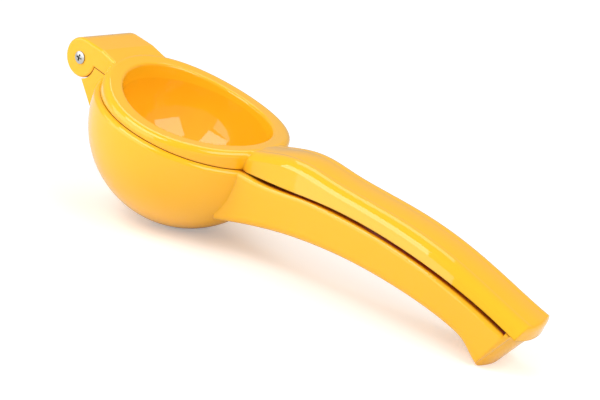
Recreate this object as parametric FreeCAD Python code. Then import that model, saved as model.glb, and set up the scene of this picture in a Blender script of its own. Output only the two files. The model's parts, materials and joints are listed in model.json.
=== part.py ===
import FreeCAD, Part
import math
import os

# Hinged lemon squeezer: a press lever and a bowl lever, joined by a two-piece hinge pin.
# Everything is first built in the squeezing frame: millimetres, origin at the middle of the
# face where the ring meets the bowl's rim, +X towards the handles, +Z up. At the end all the
# pieces turn together into the way the squeezer lies on a table, on its bowl and its tip.

# Ring of the press lever
ring_radius = 39.0
seam = 0.3
ring_low = 4.1
ring_side_rise = 4.4
ring_edge_round = 2.4
mouth_round = 1.2

# Bowl
bowl_shoulder = 2.0
bowl_depth = 45.3
bowl_wall = 3.7

# Plunger under the ring, open from above, with room for the peel about it
peel_room = 3.9
peel_room_below = 9.1
plunger_wall = 2.9
mouth_draft = 0.2

# Drain holes in the bottom of the bowl
drain_hole = 3.4
drain_pitch = 7.0
drain_rings = 2
drain_first_ring = 6

# Hinge
pin_beyond_ring = 13.2
cheek_radius = 8.2
block_half = 15.5
block_flat_behind = 3.7
block_sink = 4.5
block_dip = 0.25
block_rise = 0.3
block_edge_round = 1.0
saddle_gap = 0.4
saddle_end_angle = -64.0
bracket_foot_inset = 2.6
bracket_foot_drop = 17.2
tongue_half = 7.75
tongue_side_gap = 0.25
tongue_radius = 5.2
tongue_gap = 0.5
web_end_angle = 135.0

# Hinge pin
barrel_radius = 1.9
barrel_fit = 0.02
running_fit = 0.05
thread_radius = 1.2
thread_fit = 0.02
thread_length = 12.0
thread_room = 1.0
barrel_short = 2.0
head_radius = 2.6
head_edge = 0.45
head_crown = 0.4
cross_span = 2.9
cross_width = 0.7
cross_depth = 0.6

# Line between the two handles, seen from the side: straight, then one long arc
line_straight = 23.0
line_straight_rise = 5.7
line_middle_before_tip = 50.4
line_middle_height = 12.5
line_tip_height = 7.5
handle_gap = 1.7
gap_opening = 14.0
gap_at_ring = 0.5
lip_length = 4.6
lip_step = 2.2

# Upper handle
tip_x = 162.4
upper_root = 5.0
upper_root_sink = 0.3
upper_ramp = 12.0
upper_ramp_place = 0.42
upper_ramp_rise = 0.38
upper_stations = (0.2, 0.45, 0.7, 1.0)
upper_crest_before_tip = 54.4
upper_crest_height = 18.9
upper_crest_bend = 290.0
upper_half = 13.4
upper_root_half = 12.6
upper_top_half = 6.0
upper_lean = 1.3
upper_shoulder = 3.4
upper_knee_out = 0.72
upper_knee_up = 0.66
upper_crown = 0.4
handle_wall = 3.0
channel_root_rise = 0.45
channel_top_share = 0.4
channel_stations = (0.06, 0.3, 0.65, 1.0)
end_wall = 4.0
end_corner = 2.6
end_bow = 2.0
end_round = 3.0
end_trim = 0.05

# Lower handle
lower_root = 7.0
lower_root_half = 16.4
lower_half = 13.3
lower_taper = 39.0
lower_crest_before_tip = 37.4
lower_crest_height = -3.1
lower_bend = 192.0
stop_before_tip = 27.4
stop_bend = 29.0
stop_level_before_tip = 10.4
lower_lean = 1.0
lower_corner = 3.6
lower_edge_round = 1.6
lower_tip_short = 1.4
lower_tip_slant = 0.4
lower_tip_bow = 3.4
foot_flat_depth = 0.9
lower_root_station = 0.4
lower_stations = (0.14, 0.32, 0.52, 0.76, 1.0)
stop_stations = (0.35, 0.65, 0.8, 1.0)

# How far cutting shapes reach past what they cut, and how near counts as on a surface
over = 1.0
on_it = 0.01

# Sizes that follow from those above
bowl_radius = ring_radius + bowl_shoulder
plunger_radius = bowl_radius - bowl_wall - peel_room
plunger_depth = bowl_depth - bowl_wall - peel_room_below
pin_back = ring_radius + pin_beyond_ring
block_flat_end = ring_radius + block_flat_behind
block_inside = ring_radius - block_sink
bracket_foot_back = bowl_radius - bracket_foot_inset
line_straight_end = ring_radius + line_straight
line_middle = tip_x - line_middle_before_tip
upper_crest_x = tip_x - upper_crest_before_tip
lower_crest_x = tip_x - lower_crest_before_tip
stop_start = tip_x - stop_before_tip
stop_level = tip_x - stop_level_before_tip
gap_full_start = ring_radius + gap_opening
lip_start = tip_x - lip_length - lip_step
lower_tip_top_x = tip_x - lower_tip_short
upper_root_x = ring_radius - upper_root
lower_root_x = bowl_radius - lower_root

ORIGIN = FreeCAD.Vector(0, 0, 0)
ALONG_X = FreeCAD.Vector(1, 0, 0)
ALONG_Y = FreeCAD.Vector(0, 1, 0)
UP = FreeCAD.Vector(0, 0, 1)


def at(x, z, y=0.0):
    """A point given by its place in side view."""
    return FreeCAD.Vector(x, y, z)


def line(start, end):
    """A straight edge."""
    return Part.LineSegment(start, end).toShape()


def arc(start, middle, end):
    """A round edge through three points."""
    return Part.Arc(start, middle, end).toShape()


def outline(points):
    """Straight edges through the points, closed."""
    return Part.makePolygon(points + [points[0]]).Edges


def side_slab(edges, half):
    """A side view outline made solid, as wide to the left as to the right."""
    face = Part.Face(Part.Wire(edges))
    face.translate(FreeCAD.Vector(0, -half, 0))
    return face.extrude(FreeCAD.Vector(0, 2 * half, 0))


def turned(edges):
    """A half outline in side view, turned a full circle about the ring's axis."""
    return Part.Face(Part.Wire(edges)).revolve(ORIGIN, UP, 360)


def across(radius, x, start, end):
    """A cylinder across the squeezer, from one side place to another."""
    return Part.makeCylinder(radius, end - start, FreeCAD.Vector(x, start, 0), ALONG_Y)


def edges_where(shape, wanted):
    """The edges whose every sampled point passes a test."""
    found = []
    for edge in shape.Edges:
        if edge.Length > seam and all(wanted(point) for point in edge.discretize(5)):
            found.append(edge)
    return found


def radius_of(point):
    """Distance from the ring's axis."""
    return math.hypot(point.x, point.y)


def ring_top(x):
    """Height of the ring's saddle shaped top at a place along the squeezer."""
    bend = (ring_radius ** 2 + ring_side_rise ** 2) / (2 * ring_side_rise)
    return ring_low + bend - math.sqrt(bend ** 2 - x ** 2)


def dome(radius, middle):
    """The lower right quarter of a circle in side view, about a place on the ring's axis."""
    side = radius * math.sqrt(0.5)
    return arc(at(radius, middle), at(side, middle - side), at(0, middle - radius))


def mouth_cutter():
    """The hollow of the plunger with the drafted mouth above it."""
    wide = plunger_radius - plunger_wall
    middle = plunger_radius - plunger_depth
    top = 2 * (ring_low + ring_side_rise)
    mouth = wide + (top - middle) * mouth_draft
    return turned([line(at(0, top), at(mouth, top)),
                   line(at(mouth, top), at(wide, middle)),
                   dome(wide, middle),
                   line(at(0, middle - wide), at(0, top))])


def ring_and_plunger():
    """The ring with its saddle shaped top and the hollow plunger that hangs under it."""
    reach = ring_radius + over
    saddle = side_slab([line(at(-reach, seam), at(reach, seam)),
                        line(at(reach, seam), at(reach, ring_top(reach))),
                        arc(at(reach, ring_top(reach)), at(0, ring_low), at(-reach, ring_top(reach))),
                        line(at(-reach, ring_top(reach)), at(-reach, seam))], reach)
    ring = saddle.common(Part.makeCylinder(ring_radius, ring_radius, at(0, -over)))
    ring = ring.makeFillet(ring_edge_round,
                           edges_where(ring, lambda p: p.z > ring_low - on_it
                                       and abs(radius_of(p) - ring_radius) < on_it))
    middle = plunger_radius - plunger_depth
    plunger = turned([line(at(0, ring_low - over), at(plunger_radius, ring_low - over)),
                      line(at(plunger_radius, ring_low - over), at(plunger_radius, middle)),
                      dome(plunger_radius, middle),
                      line(at(0, -plunger_depth), at(0, ring_low - over))])
    body = ring.fuse(plunger).cut(mouth_cutter())
    rim = edges_where(body, lambda p: p.z > ring_low - on_it and radius_of(p) < plunger_radius)
    return body.makeFillet(mouth_round, rim)


def hinge_cheeks():
    """The block behind the ring, forked to take the tongue and round about the pin."""
    foot = math.sqrt(cheek_radius ** 2 - seam ** 2) - pin_back
    side = cheek_radius * math.sqrt(0.5)
    slope_end = ring_top(block_inside) - block_dip
    block_top = cheek_radius + block_rise
    block = side_slab([line(at(-pin_back, cheek_radius), at(-block_flat_end, block_top)),
                       line(at(-block_flat_end, block_top), at(-block_inside, slope_end)),
                       line(at(-block_inside, slope_end), at(-block_inside, seam)),
                       line(at(-block_inside, seam), at(foot, seam)),
                       arc(at(foot, seam), at(-pin_back, -cheek_radius), at(-pin_back - cheek_radius, 0)),
                       arc(at(-pin_back - cheek_radius, 0), at(-pin_back - side, side),
                           at(-pin_back, cheek_radius))], block_half)
    sides = edges_where(block, lambda p: abs(abs(p.y) - block_half) < on_it
                        and (p.z > seam + on_it or p.x < foot + on_it) and p.x < on_it - block_inside)
    block = block.makeFillet(block_edge_round, sides)
    return block.cut(fork_slot()).cut(across(barrel_radius + barrel_fit, -pin_back,
                                             -2 * block_half, 2 * block_half))


def fork_slot():
    """The room between the cheeks in which the tongue turns, open behind and below."""
    half = tongue_half + tongue_side_gap
    far = 4 * cheek_radius
    angle = math.radians(web_end_angle)
    edge = at(-pin_back + far * math.cos(angle), far * math.sin(angle))
    opening = side_slab(outline([at(-pin_back, seam), edge, at(edge.x, -far),
                                 at(far - pin_back, -far), at(far - pin_back, seam)]), half)
    round_room = across(tongue_radius + tongue_gap, -pin_back, -half, half)
    return opening.fuse(round_room)


def line_height(x):
    """Height of the upper handle's lower edge."""
    if x < line_straight_end:
        share = (x - ring_radius) / (line_straight_end - ring_radius)
        return seam + max(share, 0) * (line_straight_rise - seam)
    tip = line_arc()
    return tip.value(tip.parameter(at(x, line_middle_height))).z


def line_arc():
    """The long arc of the line between the handles."""
    return Part.Arc(at(line_straight_end, line_straight_rise), at(line_middle, line_middle_height),
                    at(tip_x + over, line_tip_height))


def under_the_line():
    """Everything that is trimmed away from below the upper handle."""
    end = at(tip_x + over, line_tip_height)
    beyond = end.x + upper_half
    deep = -2 * bowl_depth
    return side_slab([line(at(0, deep), at(0, seam)),
                      line(at(0, seam), at(ring_radius, seam)),
                      line(at(ring_radius, seam), at(line_straight_end, line_straight_rise)),
                      line_arc().toShape(),
                      line(end, at(beyond, end.z)),
                      line(at(beyond, end.z), at(beyond, deep)),
                      line(at(beyond, deep), at(0, deep))], 2 * upper_half)


def gap_at(x):
    """Height of the open gap between the handles, which closes softly towards the ring."""
    share = min(max((x - ring_radius) / gap_opening, 0), 1)
    return gap_at_ring + (handle_gap - gap_at_ring) * math.sin(share * math.pi / 2)


def upper_height(x):
    """Height of the upper handle's top."""
    return upper_crest_height - (x - upper_crest_x) ** 2 / (2 * upper_crest_bend)


def upper_half_at(x):
    """Half width of the upper handle, which is a little narrower at the ring."""
    share = min(max((line_straight_end - x) / line_straight, 0), 1)
    return upper_half + (upper_root_half - upper_half) * share ** 2


def upper_section(x, top, inset):
    """Cross section of the upper handle, or of the channel in it where inset is the wall."""
    low = line_height(x) - over
    high = top - inset
    side = upper_half_at(x) - inset
    shoulder = side - upper_lean * min(max((x - ring_radius) / line_straight, 0), 1)
    flat = upper_top_half - channel_top_share * inset
    bend = high - upper_shoulder
    knee_y = flat + (shoulder - flat) * upper_knee_out
    knee_z = bend + (high - upper_crown - bend) * upper_knee_up
    return Part.Wire([line(at(x, low, -side), at(x, low, side)),
                      line(at(x, low, side), at(x, bend, shoulder)),
                      arc(at(x, bend, shoulder), at(x, knee_z, knee_y), at(x, high - upper_crown, flat)),
                      arc(at(x, high - upper_crown, flat), at(x, high), at(x, high - upper_crown, -flat)),
                      arc(at(x, high - upper_crown, -flat), at(x, knee_z, -knee_y),
                          at(x, bend, -shoulder)),
                      line(at(x, bend, -shoulder), at(x, low, -side))])


def upper_handle():
    """The press lever's handle: an arched channel, open below."""
    ramp_end = upper_root_x + upper_ramp
    high = upper_height(ramp_end)
    low = ring_top(upper_root_x) - upper_root_sink
    outer = [upper_section(upper_root_x, low, 0),
             upper_section(upper_root_x + upper_ramp_place * upper_ramp,
                           low + upper_ramp_rise * (high - low), 0),
             upper_section(ramp_end, high, 0)]
    for share in upper_stations:
        x = ramp_end + share * (tip_x + 2 * over - ramp_end)
        outer.append(upper_section(x, upper_height(x), 0))
    inner_start = ring_radius + over
    inner_end = tip_x - end_wall
    inner = [upper_section(inner_start, low + channel_root_rise * (high - low), handle_wall)]
    for share in channel_stations:
        x = inner_start + share * (inner_end - inner_start)
        inner.append(upper_section(x, upper_height(x), handle_wall))
    handle = Part.makeLoft(outer, True, False)
    channel = Part.makeLoft(inner, True, False)
    handle = handle.cut(channel).cut(under_the_line())
    return handle.common(tip_prism(tip_x + end_trim, upper_half, 0, end_bow)).common(rounded_end())


def rounded_end():
    """Everything behind the upper handle's bowed end, whose top edge is rounded over."""
    side = upper_half - end_corner
    bend = (side ** 2 + end_bow ** 2) / (2 * end_bow)
    tilt = math.atan((tip_x - upper_crest_x) / upper_crest_bend)
    start = bend - end_round * (1 - math.sin(tilt))
    top = upper_height(tip_x - bend + start)
    middle = at(bend - end_round, top - end_round * math.cos(tilt))
    half_way = (math.pi / 2 + tilt) / 2
    shape = turned([line(at(0, 0), at(bend, 0)),
                    line(at(bend, 0), at(bend, middle.z)),
                    arc(at(bend, middle.z),
                        middle + at(end_round * math.sin(half_way), end_round * math.cos(half_way)),
                        at(start, top)),
                    line(at(start, top), at(0, 2 * top)),
                    line(at(0, 2 * top), at(0, 0))])
    shape.translate(at(tip_x - bend, 0))
    return shape.fuse(Part.makeBox(tip_x - bend, 4 * upper_half, 2 * top, at(0, 0, -2 * upper_half)))


def tip_prism(end, half, slant, bow):
    """A tall prism whose plan is the handle's: rounded corners and a bowed end."""
    wide = half + handle_wall
    corner = end_corner
    shoulder = end - bow
    diagonal = corner * (1 - math.sqrt(0.5))
    plan = Part.Wire([line(at(0, 0, -wide), at(shoulder - corner, 0, -wide)),
                      line(at(shoulder - corner, 0, -wide), at(shoulder - corner, 0, -half)),
                      arc(at(shoulder - corner, 0, -half), at(shoulder - diagonal, 0, -half + diagonal),
                          at(shoulder, 0, -half + corner)),
                      arc(at(shoulder, 0, -half + corner), at(end, 0), at(shoulder, 0, half - corner)),
                      arc(at(shoulder, 0, half - corner), at(shoulder - diagonal, 0, half - diagonal),
                          at(shoulder - corner, 0, half)),
                      line(at(shoulder - corner, 0, half), at(shoulder - corner, 0, wide)),
                      line(at(shoulder - corner, 0, wide), at(0, 0, wide)),
                      line(at(0, 0, wide), at(0, 0, -wide))])
    tall = 2 * bowl_depth
    face = Part.Face(plan)
    face.translate(at(-tall * slant, -tall))
    return face.extrude(FreeCAD.Vector(2 * tall * slant, 0, 2 * tall))


def lower_height(x):
    """Height of the lower handle's underside, with the thumb stop's dip at the tip."""
    place = min(x, stop_level)
    dip = max(place - stop_start, 0) ** 2 / (2 * stop_bend)
    return lower_crest_height - (place - lower_crest_x) ** 2 / (2 * lower_bend) - dip


def lower_half_at(x):
    """Half width of the lower handle, which narrows away from the bowl."""
    share = min(max((lower_root_x + lower_taper - x) / lower_taper, 0), 1)
    return lower_half + (lower_root_half - lower_half) * share ** 2


def lower_section(x, gap):
    """Cross section of the lower handle, with rounded edges, under a gap of the given height."""
    high = line_height(x) - gap
    low = lower_height(x)
    side = lower_half_at(x)
    foot = side - lower_lean
    edge = lower_edge_round
    corner = lower_corner
    edge_part = edge * (1 - math.sqrt(0.5))
    corner_part = corner * (1 - math.sqrt(0.5))
    return Part.Wire([line(at(x, high, side - edge), at(x, high, edge - side)),
                      arc(at(x, high, edge - side), at(x, high - edge_part, edge_part - side),
                          at(x, high - edge, -side)),
                      line(at(x, high - edge, -side), at(x, low + corner, -foot)),
                      arc(at(x, low + corner, -foot), at(x, low + corner_part, -foot + corner_part),
                          at(x, low, -foot + corner)),
                      line(at(x, low, -foot + corner), at(x, low, foot - corner)),
                      arc(at(x, low, foot - corner), at(x, low + corner_part, foot - corner_part),
                          at(x, low + corner, foot)),
                      line(at(x, low + corner, foot), at(x, high - edge, side)),
                      arc(at(x, high - edge, side), at(x, high - edge_part, side - edge_part),
                          at(x, high, side - edge))])


def channel_section(x):
    """Cross section of the lower handle's channel, open above."""
    high = line_height(x) + 2 * over
    low = lower_height(x) + handle_wall
    side = lower_half_at(x) - handle_wall
    foot = side - lower_lean
    corner = lower_corner / 2
    corner_part = corner * (1 - math.sqrt(0.5))
    return Part.Wire([line(at(x, high, side), at(x, high, -side)),
                      line(at(x, high, -side), at(x, low + corner, -foot)),
                      arc(at(x, low + corner, -foot), at(x, low + corner_part, -foot + corner_part),
                          at(x, low, -foot + corner)),
                      line(at(x, low, -foot + corner), at(x, low, foot - corner)),
                      arc(at(x, low, foot - corner), at(x, low + corner_part, foot - corner_part),
                          at(x, low + corner, foot)),
                      line(at(x, low + corner, foot), at(x, high, side))])


def lower_handle():
    """The bowl lever's handle: a channel open above, with a thumb stop under its tip."""
    near = [lower_root_x, ring_radius + lower_root_station * gap_opening, gap_full_start]
    run = stop_start - gap_full_start
    middle = [gap_full_start + share * run for share in lower_stations]
    stop = tip_x - stop_start
    far = [stop_start + share * stop for share in stop_stations]
    outer = [lower_section(x, gap_at(x)) for x in near + middle + far]
    end = lower_tip_top_x - lower_tip_slant * line_tip_height
    channel_end = end + lower_tip_slant * lower_height(stop_level) - lower_tip_bow - end_wall
    inner = [channel_section(x) for x in (lower_root_x, gap_full_start, middle[1], middle[3], stop_start,
                                          (stop_start + channel_end) / 2, channel_end)]
    handle = Part.makeLoft(outer, True, False).cut(Part.makeLoft(inner, True, False))
    lip = Part.makeLoft([lower_section(x, seam) for x in (lip_start, lip_start + lip_length, tip_x + over)],
                        True, False)
    return handle.fuse(lip).common(tip_prism(end, lower_half, lower_tip_slant, lower_tip_bow))


def bowl_shell():
    """The bowl's outer shape, with the rounded shoulder beside its rim."""
    middle = bowl_radius - bowl_depth
    turn = bowl_shoulder
    diagonal = turn * (1 - math.sqrt(0.5))
    return turned([line(at(0, 0), at(bowl_radius - turn, 0)),
                   arc(at(bowl_radius - turn, 0), at(bowl_radius - diagonal, -diagonal),
                       at(bowl_radius, -turn)),
                   line(at(bowl_radius, -turn), at(bowl_radius, middle)),
                   dome(bowl_radius, middle),
                   line(at(0, -bowl_depth), at(0, 0))])


def bowl_hollow():
    """The room inside the bowl."""
    wide = bowl_radius - bowl_wall
    middle = bowl_radius - bowl_depth
    return turned([line(at(0, over), at(wide, over)),
                   line(at(wide, over), at(wide, middle)),
                   dome(wide, middle),
                   line(at(0, bowl_wall - bowl_depth), at(0, over))])


def drain_holes():
    """One hole in the middle and rings of holes about it."""
    hole = Part.makeCylinder(drain_hole / 2, bowl_depth, at(0, -bowl_depth - 2 * over))
    holes = [hole]
    for ring in range(1, drain_rings + 1):
        for index in range(drain_first_ring * ring):
            copy = hole.copy()
            copy.translate(FreeCAD.Vector(drain_pitch * ring, 0, 0))
            copy.rotate(ORIGIN, UP, 360.0 * index / (drain_first_ring * ring))
            holes.append(copy)
    return Part.makeCompound(holes)


def hinge_bracket():
    """The lower half of the hinge: saddles under the cheeks and the tongue between them."""
    saddle = cheek_radius + saddle_gap
    angle = math.radians(saddle_end_angle)
    back = at(-pin_back + saddle * math.cos(angle), saddle * math.sin(angle))
    foot = at(-bracket_foot_back, -bracket_foot_drop)
    inside = -(bowl_radius - bowl_wall)
    bracket = side_slab(outline([at(-pin_back, 0), at(inside, 0), at(inside, foot.z), foot, back]),
                        block_half)
    bracket = bracket.cut(across(saddle, -pin_back, -2 * block_half, 2 * block_half))
    run = (foot - back).normalize()
    out = FreeCAD.Vector(run.z, 0, -run.x)
    pin = at(-pin_back, 0)
    tangent = pin + out * tongue_radius
    meet = tangent + run * ((foot - tangent).dot(run))
    neck = side_slab(outline([pin, tangent, meet, foot, at(inside, foot.z), at(inside, 0)]), tongue_half)
    tongue = across(tongue_radius, -pin_back, -tongue_half, tongue_half)
    return bracket.fuse(neck).fuse(tongue)


def bowl_lever():
    """The lower casting."""
    body = bowl_shell().fuse(hinge_bracket()).fuse(lower_handle())
    body = body.cut(bowl_hollow()).cut(drain_holes()).cut(below_the_table())
    return body.cut(across(barrel_radius + running_fit, -pin_back, -2 * block_half, 2 * block_half))


def press_lever():
    """The upper casting."""
    return ring_and_plunger().fuse(hinge_cheeks()).fuse(upper_handle())


def pin_head(side):
    """The low domed head at one end of the hinge pin, resting on the cheek's face."""
    seat = block_half
    top = seat + head_edge + head_crown
    bend = (head_radius ** 2 + head_crown ** 2) / (2 * head_crown)
    half_angle = math.asin(head_radius / bend) / 2
    profile = Part.Wire([line(at(0, seat), at(head_radius, seat)),
                         line(at(head_radius, seat), at(head_radius, seat + head_edge)),
                         arc(at(head_radius, seat + head_edge),
                             at(bend * math.sin(half_angle), top - bend * (1 - math.cos(half_angle))),
                             at(0, top)),
                         line(at(0, top), at(0, seat))])
    head = Part.Face(profile).revolve(ORIGIN, UP, 360)
    head.rotate(ORIGIN, ALONG_X, -90 * side)
    head.translate(at(-pin_back, 0))
    return head


def cross_cut(width, span):
    """One bar of the cross recess."""
    deep = cross_depth + over
    face = -block_half - head_edge - head_crown
    bar = Part.makeBox(span, deep, width, FreeCAD.Vector(-span / 2, face - over, -width / 2))
    bar.translate(at(-pin_back, 0))
    return bar


def hinge_barrel():
    """The sleeve of the pin, with its head on the far side and a blind threaded hole."""
    start = -block_half + barrel_short
    sleeve = across(barrel_radius, -pin_back, start, block_half)
    blind = across(thread_radius + thread_fit, -pin_back, start - over,
                   -block_half + thread_length + thread_room)
    return sleeve.fuse(pin_head(1)).cut(blind)


def hinge_screw():
    """The screw of the pin, with its cross recess towards the near side."""
    shank = across(thread_radius, -pin_back, -block_half, -block_half + thread_length)
    screw = shank.fuse(pin_head(-1))
    return screw.cut(cross_cut(cross_width, cross_span)).cut(cross_cut(cross_span, cross_width))


def tip_foot():
    """The lowest point of the lower handle's tip, where its end meets its underside."""
    end = lower_tip_top_x - lower_tip_slant * line_tip_height
    height = 0.0
    for _ in range(20):
        height = lower_height(end + lower_tip_slant * height)
    return at(end + lower_tip_slant * height, height)


def resting_turn():
    """How far the squeezer tips forward, in degrees, to lie on its bowl and its tip."""
    reach = tip_foot() - at(0, bowl_radius - bowl_depth)
    slope = math.atan2(reach.z, reach.x)
    return math.degrees(slope + math.asin((bowl_radius + foot_flat_depth) / reach.Length))


def below_the_table():
    """The room under the table at the tip, which cuts the narrow flat that the tip rests on."""
    length = 2 * tip_x
    table = Part.makeBox(length, length, length, FreeCAD.Vector(bowl_radius + over, -length / 2, -length))
    table.translate(at(0, -bowl_radius))
    table.rotate(ORIGIN, ALONG_Y, -resting_turn())
    table.translate(at(0, bowl_radius - bowl_depth))
    return table


def main():
    """Builds each piece, lays the squeezer down and writes the files."""
    pieces = {"press_lever": press_lever(), "bowl_lever": bowl_lever(),
              "hinge_barrel": hinge_barrel(), "hinge_screw": hinge_screw()}
    whole = Part.makeCompound(list(pieces.values()))
    lay = FreeCAD.Placement(ORIGIN, FreeCAD.Rotation(ALONG_Y, resting_turn()))
    whole.Placement = lay
    box = whole.optimalBoundingBox(False)
    shift = FreeCAD.Vector(-box.Center.x, -box.Center.y, -box.ZMin)
    lay = FreeCAD.Placement(shift, lay.Rotation)
    os.makedirs("parts", exist_ok=True)
    for name, shape in pieces.items():
        shape = shape.removeSplitter()
        shape.Placement = lay
        shape.exportStep("parts/" + name + ".step")
        print(name, "solids", len(shape.Solids), "valid", shape.isValid(),
              "volume", round(shape.Volume), "faces", len(shape.Faces))
    print("turn", resting_turn(), "shift", shift)
    print("hinge axis", lay.multVec(at(-pin_back, 0)), "ring middle", lay.multVec(ORIGIN))
    print("box", box.XLength, box.YLength, box.ZLength)
    foot = lay.multVec(tip_foot())
    print("foot", foot)


main()
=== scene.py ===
import json
import logging
import math
from dataclasses import dataclass
from enum import Enum
from typing import Any, Optional, Union

import bmesh
import bpy
from mathutils import Matrix, Vector

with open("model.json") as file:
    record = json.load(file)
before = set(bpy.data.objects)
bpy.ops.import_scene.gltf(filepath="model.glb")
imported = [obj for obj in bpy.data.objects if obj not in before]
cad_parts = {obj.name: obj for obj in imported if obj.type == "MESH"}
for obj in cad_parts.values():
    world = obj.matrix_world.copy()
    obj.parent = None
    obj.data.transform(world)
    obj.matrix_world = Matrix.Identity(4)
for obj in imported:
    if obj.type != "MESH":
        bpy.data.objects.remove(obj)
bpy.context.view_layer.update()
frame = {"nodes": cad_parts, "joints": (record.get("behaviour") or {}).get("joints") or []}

log = logging.getLogger("lemon_squeezer")

MM = 0.001
UP = Vector((0.0, 0.0, 1.0))
PIN = Vector(frame["joints"][0]["pos_m"])
NOISE_MEAN = 0.5
MIX_SHARE, MIX_FIRST, MIX_SECOND, MIX_COLOUR = 0, 6, 7, 2

Colour = tuple[float, float, float]
Operand = Union["Socket", float, Colour]

BLACK: Colour = (0.0, 0.0, 0.0)
WHITE: Colour = (1.0, 1.0, 1.0)


class Slot(Enum):
    """The record's finishes."""

    ENAMEL = "enamel"
    STEEL = "pin_steel"


class Socket:
    """One output of a shader node, with the arithmetic that a pattern needs."""

    def __init__(self, graph: "Graph", link: bpy.types.NodeSocket) -> None:
        """Wraps a node's output.

        Args:
            graph: The node tree that the output belongs to.
            link: The output itself.
        """
        self.graph = graph
        self.link = link

    def _math(self, operation: str, first: Operand, second: Operand) -> "Socket":
        """Adds a Math node.

        Args:
            operation: The node's operation.
            first: Its first value or link.
            second: Its second value or link.

        Returns:
            The node's output.
        """
        return self.graph.node("ShaderNodeMath", {"operation": operation}, {0: first, 1: second})

    def __add__(self, other: Operand) -> "Socket":
        """This plus another."""
        return self._math("ADD", self, other)

    def __radd__(self, other: Operand) -> "Socket":
        """Another plus this."""
        return self._math("ADD", other, self)

    def __sub__(self, other: Operand) -> "Socket":
        """This less another."""
        return self._math("SUBTRACT", self, other)

    def __rsub__(self, other: Operand) -> "Socket":
        """Another less this."""
        return self._math("SUBTRACT", other, self)

    def __mul__(self, other: Operand) -> "Socket":
        """This times another."""
        return self._math("MULTIPLY", self, other)

    def __rmul__(self, other: Operand) -> "Socket":
        """Another times this."""
        return self._math("MULTIPLY", other, self)

    def greatest(self, other: Operand) -> "Socket":
        """The greater of this and another."""
        return self._math("MAXIMUM", self, other)


class Graph:
    """A material's or the world's node tree, built from expressions."""

    def __init__(self, tree: bpy.types.NodeTree) -> None:
        """Empties a node tree.

        Args:
            tree: The tree to build in.
        """
        self.tree = tree
        tree.nodes.clear()

    def node(self, kind: str, settings: Optional[dict[str, Any]] = None,
             inputs: Optional[dict[Union[int, str], Operand]] = None,
             output: Union[int, str] = 0) -> Socket:
        """Adds any node.

        Args:
            kind: The node's type.
            settings: Its properties, set before its sockets.
            inputs: The values or links of its sockets, by name or place.
            output: The output that is wanted.

        Returns:
            That output, wrapped.
        """
        node = self.tree.nodes.new(kind)
        for name, value in (settings or {}).items():
            setattr(node, name, value)
        for name, value in (inputs or {}).items():
            if isinstance(value, Socket):
                self.tree.links.new(value.link, node.inputs[name])
            elif isinstance(value, tuple) and node.inputs[name].type == "RGBA":
                node.inputs[name].default_value = (*value, 1.0)
            else:
                node.inputs[name].default_value = value
        return Socket(self, node.outputs[output] if len(node.outputs) else None)

    def coordinates(self) -> Socket:
        """The place on the object, in metres."""
        return self.node("ShaderNodeTexCoord", output="Object")

    def length(self, vector: Socket) -> Socket:
        """How long a vector is."""
        return self.node("ShaderNodeVectorMath", {"operation": "LENGTH"}, {0: vector}, "Value")

    def noise(self, size: float, detail: float = 2.0) -> Socket:
        """A noise pattern.

        Args:
            size: The size of its spots, in metres.
            detail: How many finer layers it has.

        Returns:
            The pattern's value, NOISE_MEAN on average.
        """
        return self.node("ShaderNodeTexNoise", {"noise_dimensions": "3D"},
                         {"Vector": self.coordinates(), "Scale": 1.0 / size, "Detail": detail})

    def ease(self, value: Socket, start: float, end: float,
             first: float = 0.0, last: float = 1.0) -> Socket:
        """Turns smoothly from one level to another as a value grows.

        Args:
            value: The value that decides.
            start: The value up to which the first level holds.
            end: The value from which the last level holds.
            first: The first level.
            last: The last level.

        Returns:
            The level.
        """
        return self.node("ShaderNodeMapRange", {"interpolation_type": "SMOOTHSTEP"},
                         {"Value": value, "From Min": start, "From Max": end,
                          "To Min": first, "To Max": last})

    def painted_shade(self, reach: float, shut: float, opened: float, samples: int = 12) -> Socket:
        """Where the surface is shut in by others close to it, as in a gap or a recess; the mask for
        painted shade.

        Args:
            reach: How near the others are, in metres.
            shut: The openness at and under which it counts fully.
            opened: The openness from which it counts no more.
            samples: How many ways the node looks.

        Returns:
            One in the gap and zero in the open.
        """
        openness = self.node("ShaderNodeAmbientOcclusion", {"samples": samples},
                             {"Distance": reach}, "AO")
        return self.ease(openness, shut, opened, 1.0, 0.0)

    def soft_edges(self, radius: float, samples: int) -> Socket:
        """The surface's direction, with its edges rounded.

        Args:
            radius: The size of the round, in metres.
            samples: How many ways the node looks.

        Returns:
            The rounded normal.
        """
        return self.node("ShaderNodeBevel", {"samples": samples}, {"Radius": radius})

    def blend(self, share: Operand, first: Operand, second: Operand) -> Socket:
        """Mixes two colours.

        Args:
            share: How much of the second colour shows.
            first: The first colour.
            second: The second colour.

        Returns:
            The mixed colour.
        """
        return self.node("ShaderNodeMix", {"data_type": "RGBA"},
                         {MIX_SHARE: share, MIX_FIRST: first, MIX_SECOND: second}, MIX_COLOUR)


def new_graph(name: str) -> tuple[bpy.types.Material, Graph]:
    """Starts a material.

    Args:
        name: The material's name.

    Returns:
        The material and its empty node tree.
    """
    material = bpy.data.materials.new(name)
    material.use_nodes = True
    return material, Graph(material.node_tree)


def direction(azimuth: float, elevation: float) -> Vector:
    """Works out a direction from the object, seen from above and from the side.

    Args:
        azimuth: Degrees round from the front, towards the handles' tips.
        elevation: Degrees up from the level.

    Returns:
        The direction, of length one.
    """
    side, rise = math.radians(azimuth), math.radians(elevation)
    return Vector((math.sin(side) * math.cos(rise), -math.cos(side) * math.cos(rise), math.sin(rise)))


def place_object(name: str, data: bpy.types.ID) -> bpy.types.Object:
    """Puts a new object into the scene.

    Args:
        name: The object's name.
        data: Its mesh, lamp or camera.

    Returns:
        The object.
    """
    placed = bpy.data.objects.new(name, data)
    bpy.context.scene.collection.objects.link(placed)
    return placed


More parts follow.
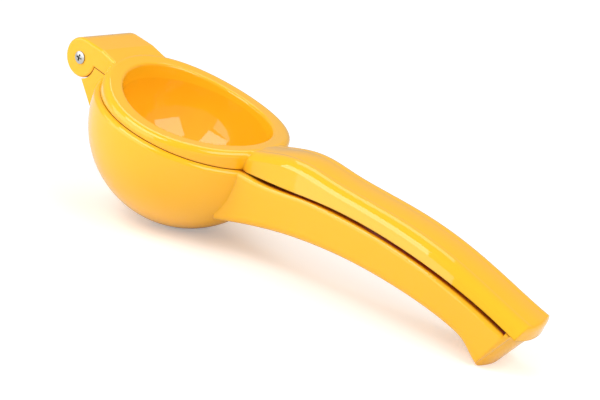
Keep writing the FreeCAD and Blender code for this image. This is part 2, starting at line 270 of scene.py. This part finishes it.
@dataclass(frozen=True)
class EnamelFinish:
    """Glossy baked paint on a zinc casting, with a faint orange peel and painted shade, a dark
    red-brown, in its gaps, creases and recesses.
    """

    colour: Colour = (0.98, 0.50, 0.013)
    warm_colour: Colour = (0.97, 0.48, 0.011)
    patch_size: float = 26 * MM
    roughness: float = 0.35
    roughness_swing: float = 0.05
    sheen_patch: float = 9 * MM
    peel_size: float = 1.5 * MM
    peel_depth: float = 0.004 * MM
    peel_strength: float = 0.35
    edge_round: float = 0.9 * MM
    edge_samples: int = 10
    # Painted shade: the dark red-brown that the paint turns to in the gap between the handles, in
    # creases and in recesses, by an ambient-occlusion mask.
    painted_shade_colour: Colour = (0.42, 0.040, 0.001)
    shade_reach: float = 7 * MM
    shade_open: float = 0.53
    shade_shut: float = 0.30
    foot_height: float = 6 * MM
    foot_fade: float = 5 * MM
    coat: float = 1.0
    coat_roughness: float = 0.03
    coat_bend: float = 1.5
    base_gloss: float = 0.05

    def material(self, name: str) -> bpy.types.Material:
        """Builds the paint.

        Args:
            name: The material's name.

        Returns:
            The material.
        """
        material, graph = new_graph(name)
        paint_colour = graph.blend(graph.noise(self.patch_size), self.colour, self.warm_colour)
        height = graph.node("ShaderNodeSeparateXYZ", None, {"Vector": graph.coordinates()}, "Z")
        off_table = graph.ease(height, self.foot_height, self.foot_height + self.foot_fade)
        # Painted shade: the occlusion mask darkens the paint in gaps and creases, faded out over the
        # lowest part near the table so that the floor adds none.
        painted_shade = off_table * graph.painted_shade(self.shade_reach, self.shade_shut, self.shade_open)
        colour = graph.blend(painted_shade, paint_colour, self.painted_shade_colour)
        sheen = graph.noise(self.sheen_patch) - NOISE_MEAN
        rough = self.roughness + self.roughness_swing * sheen
        peel = graph.node("ShaderNodeBump", None,
                          {"Strength": self.peel_strength, "Distance": self.peel_depth,
                           "Height": graph.noise(self.peel_size),
                           "Normal": graph.soft_edges(self.edge_round, self.edge_samples)})
        paint = graph.node("ShaderNodeBsdfPrincipled", None,
                           {"Base Color": colour, "Roughness": rough, "Normal": peel,
                            "Specular IOR Level": self.base_gloss, "Coat Weight": self.coat,
                            "Coat Roughness": self.coat_roughness, "Coat IOR": self.coat_bend})
        graph.node("ShaderNodeOutputMaterial", None, {"Surface": paint})
        return material


@dataclass(frozen=True)
class SteelFinish:
    """Turned steel of the pin, with fine rings about its axis and painted shade darkening its
    recesses.
    """

    colour: Colour = (0.62, 0.62, 0.60)
    dark_colour: Colour = (0.42, 0.42, 0.40)
    # Painted shade: the near black that the steel turns to in recesses, such as the head's cross
    # recess, by an occlusion mask.
    recess_shade_colour: Colour = (0.05, 0.05, 0.045)
    recess_shade_reach: float = 1.2 * MM
    recess_shade_open: float = 0.80
    recess_shade_shut: float = 0.45
    ring_pitch: float = 0.16 * MM
    ring_detail: float = 2.0
    ring_depth: float = 0.003 * MM
    ring_strength: float = 0.4
    roughness: float = 0.2
    roughness_swing: float = 0.12
    edge_round: float = 0.12 * MM
    edge_samples: int = 6

    def material(self, name: str, axis: Vector) -> bpy.types.Material:
        """Builds the steel.

        Args:
            name: The material's name.
            axis: A point on the pin's axis, which runs along Y.

        Returns:
            The material.
        """
        material, graph = new_graph(name)
        centred = graph.node("ShaderNodeMapping", {"vector_type": "POINT"},
                             {"Vector": graph.coordinates(), "Location": (-axis.x, 0.0, -axis.z),
                              "Scale": (1.0, 0.0, 1.0)})
        rings = graph.node("ShaderNodeTexNoise", {"noise_dimensions": "1D"},
                           {"W": graph.length(centred), "Scale": 1.0 / self.ring_pitch,
                            "Detail": self.ring_detail})
        grooves = graph.node("ShaderNodeBump", None,
                             {"Strength": self.ring_strength, "Distance": self.ring_depth,
                              "Height": rings,
                              "Normal": graph.soft_edges(self.edge_round, self.edge_samples)})
        # Painted shade: the occlusion mask darkens the steel in its recesses, such as the head's
        # cross recess.
        recess_shade = graph.painted_shade(self.recess_shade_reach, self.recess_shade_shut, self.recess_shade_open)
        turned = graph.blend(rings, self.colour, self.dark_colour)
        steel = graph.node("ShaderNodeBsdfPrincipled", None,
                           {"Base Color": graph.blend(recess_shade, turned, self.recess_shade_colour),
                            "Metallic": 1.0, "Normal": grooves,
                            "Roughness": self.roughness + self.roughness_swing * rings})
        graph.node("ShaderNodeOutputMaterial", None, {"Surface": steel})
        return material


@dataclass(frozen=True)
class Piece:
    """One solid of the squeezer, shown by its own node with the CAD's smooth normals."""

    node: str
    slot: Slot

    def dress(self, material: bpy.types.Material) -> None:
        """Gives the node its finish.

        Args:
            material: The piece's finish.
        """
        piece = frame["nodes"][self.node]
        piece.data.materials.clear()
        piece.data.materials.append(material)
        log.info("%s: %d faces", self.node, len(piece.data.polygons))


@dataclass(frozen=True)
class Squeezer:
    """The two castings and the two halves of the pin between them."""

    enamel: EnamelFinish = EnamelFinish()
    steel: SteelFinish = SteelFinish()
    castings: tuple[Piece, ...] = (Piece("bowl_lever", Slot.ENAMEL),
                                   Piece("press_lever", Slot.ENAMEL))
    pin: tuple[Piece, ...] = (Piece("hinge_barrel", Slot.STEEL), Piece("hinge_screw", Slot.STEEL))

    def build(self) -> None:
        """Dresses every piece."""
        paint = self.enamel.material("yellow_enamel")
        metal = self.steel.material("turned_steel", PIN)
        for casting in self.castings:
            casting.dress(paint)
        for half in self.pin:
            half.dress(metal)


@dataclass(frozen=True)
class SoftBox:
    """One soft lamp, placed by the direction in which the squeezer's hollow sees it."""

    name: str
    azimuth: float
    elevation: float
    width: float
    height: float
    brightness: float
    distance: float = 0.75

    def build(self, aim: Vector) -> None:
        """Hangs the lamp, facing the object.

        Args:
            aim: The place that it faces.
        """
        light = bpy.data.lights.new(self.name, "AREA")
        light.shape = "RECTANGLE"
        light.size = self.width
        light.size_y = self.height
        light.energy = self.brightness * math.pi * self.width * self.height
        lamp = place_object(self.name, light)
        out = direction(self.azimuth, self.elevation)
        lamp.location = aim + out * self.distance
        lamp.rotation_mode = "QUATERNION"
        lamp.rotation_quaternion = out.to_track_quat("Z", "Y")


@dataclass
class Studio:
    """White surroundings, a pale floor and the soft lamps, which face the hollow."""

    aim: Vector = Vector((-65 * MM, 15 * MM, 33 * MM))
    world_light: float = 0.35
    gloss_share: float = 0.1
    floor_size: float = 6.0
    floor_colour: Colour = (0.85, 0.85, 0.85)
    floor_lift: float = 0.30
    far_lift: float = 0.95
    lift_start: float = 0.20
    lift_run: float = 1.0
    boxes: tuple[SoftBox, ...] = (
        SoftBox("front_box", azimuth=-12.0, elevation=49.0, width=0.34, height=0.24,
                brightness=4.3, distance=0.50),
        SoftBox("right_box", azimuth=86.0, elevation=37.0, width=0.58, height=0.42, brightness=3.6),
        SoftBox("left_box", azimuth=-30.0, elevation=12.0, width=0.90, height=0.58, brightness=1.9),
        SoftBox("back_box", azimuth=-168.0, elevation=63.0, width=0.50, height=0.36, brightness=1.9),
    )

    def build(self) -> None:
        """Makes the world, the floor and the lamps."""
        self._world()
        self._floor()
        for box in self.boxes:
            box.build(self.aim)

    def _seen(self, graph: Graph) -> Socket:
        """Where a ray comes straight, or by gloss or glass, from the viewer.

        Args:
            graph: The node tree to build in.

        Returns:
            One for such rays, the gloss's share for glossy ones and zero for light.
        """
        camera = graph.node("ShaderNodeLightPath", output="Is Camera Ray")
        glossy = graph.node("ShaderNodeLightPath", output="Is Glossy Ray")
        through = graph.node("ShaderNodeLightPath", output="Is Transmission Ray")
        return camera.greatest(through).greatest(self.gloss_share * glossy)

    def _world(self) -> None:
        """White to the eye, darker in reflections, and a plain even light for the object."""
        world = bpy.data.worlds.new("white_room")
        bpy.context.scene.world = world
        world.use_nodes = True
        graph = Graph(world.node_tree)
        level = self.world_light + (1.0 - self.world_light) * self._seen(graph)
        back = graph.node("ShaderNodeBackground", None, {"Color": WHITE, "Strength": level})
        graph.node("ShaderNodeOutputWorld", None, {"Surface": back})

    def _floor(self) -> None:
        """A pale floor that stays white around the object and keeps its shadow."""
        shape = bmesh.new()
        bmesh.ops.create_grid(shape, x_segments=1, y_segments=1, size=self.floor_size / 2)
        mesh = bpy.data.meshes.new("floor")
        shape.to_mesh(mesh)
        shape.free()
        material, graph = new_graph("floor")
        far = graph.ease(graph.length(graph.coordinates()), self.lift_start,
                         self.lift_start + self.lift_run, self.floor_lift, self.far_lift)
        lift = far * self._seen(graph)
        paper = graph.node("ShaderNodeBsdfPrincipled", None,
                           {"Base Color": self.floor_colour, "Roughness": 1.0,
                            "Specular IOR Level": 0.0, "Emission Strength": 1.0,
                            "Emission Color": graph.blend(lift, BLACK, WHITE)})
        graph.node("ShaderNodeOutputMaterial", None, {"Surface": paper})
        mesh.materials.append(material)
        place_object("floor", mesh)


@dataclass
class PhotoCamera:
    """The photograph's view, given in the frame of the closed squeezer's seam."""

    azimuth: float = 27.10
    elevation: float = 25.52
    roll: float = -23.28
    distance: float = 458.07 * MM
    aim: Vector = Vector((58.13 * MM, 0.0, -2.55 * MM))
    focal_pixels: float = 1201.3
    image_width: float = 600.0
    sensor: float = 36.0
    near_limit: float = 10 * MM
    lay_turn: float = math.radians(13.66352)
    pin_behind_ring: float = 52.2 * MM

    def build(self) -> None:
        """Makes the camera and gives it to the scene."""
        turn = Matrix.Rotation(self.lay_turn, 3, "Y")
        ring = PIN + turn @ Vector((self.pin_behind_ring, 0.0, 0.0))
        roll = math.radians(self.roll)
        back = direction(self.azimuth, self.elevation)
        right = UP.cross(back).normalized()
        down = right.cross(back)
        rolled = right * math.cos(roll) + down * math.sin(roll)
        under = down * math.cos(roll) - right * math.sin(roll)
        axes = turn @ Matrix((rolled, -under, back)).transposed()
        data = bpy.data.cameras.new("photo_camera")
        data.sensor_width = self.sensor
        data.lens = self.sensor * self.focal_pixels / self.image_width
        data.clip_start = self.near_limit
        camera = place_object("photo_camera", data)
        place = ring + turn @ (self.aim + back * self.distance)
        camera.matrix_world = Matrix.Translation(place) @ axes.to_4x4()
        bpy.context.scene.camera = camera


def main() -> None:
    """Builds the squeezer, its surroundings and the camera."""
    logging.basicConfig(level=logging.INFO, format="%(message)s")
    bpy.context.scene.view_settings.view_transform = "Standard"
    Squeezer().build()
    Studio().build()
    PhotoCamera().build()


if __name__ == "__main__":
    main()
